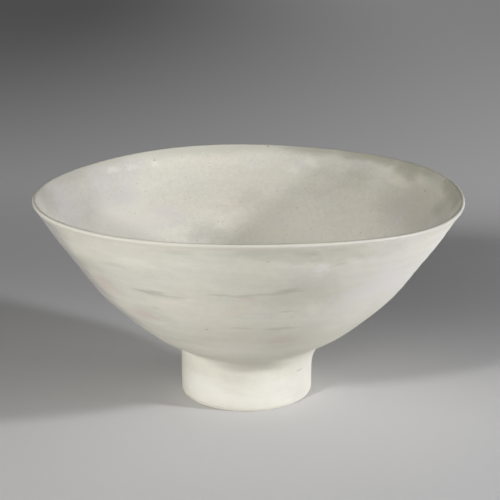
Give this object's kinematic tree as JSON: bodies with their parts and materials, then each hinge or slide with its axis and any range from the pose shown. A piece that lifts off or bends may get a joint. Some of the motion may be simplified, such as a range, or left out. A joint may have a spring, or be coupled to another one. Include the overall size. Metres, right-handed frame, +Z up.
{
  "type": "footed bowl",
  "caption": "Wide, thin-walled glazed stoneware bowl with a gently waving lip, luted onto a tall upright foot ring with a bare standing edge.",
  "frame": {"origin": "on the bowl's own axis, in the plane that the foot ring stands on", "axes": "+Z up along the bowl's axis; +X to the right, across the widest part of the slightly oval rim; +Y to the back"},
  "size_m": [0.21, 0.205, 0.1059],
  "materials": {
    "bowl_clay": "fired, unglazed stoneware",
    "foot_clay": "fired, unglazed stoneware, worn smooth where it stands",
    "slip": "fired clay slip",
    "outside_glaze": "satin off-white glaze with soft grey streaks",
    "inside_glaze": "satin off-white glaze with fine dark specks",
    "rim_glaze": "satin cream glaze over the lip",
    "foot_well_glaze": "thin satin off-white glaze"
  },
  "bodies": {
    "root": {"bowl_body": "bowl_clay", "foot_ring": "foot_clay", "luting_slip": "slip", "outside_glaze": "outside_glaze", "inside_glaze": "inside_glaze", "rim_glaze": "rim_glaze", "foot_well_glaze": "foot_well_glaze"}
  },
  "joints": []
}
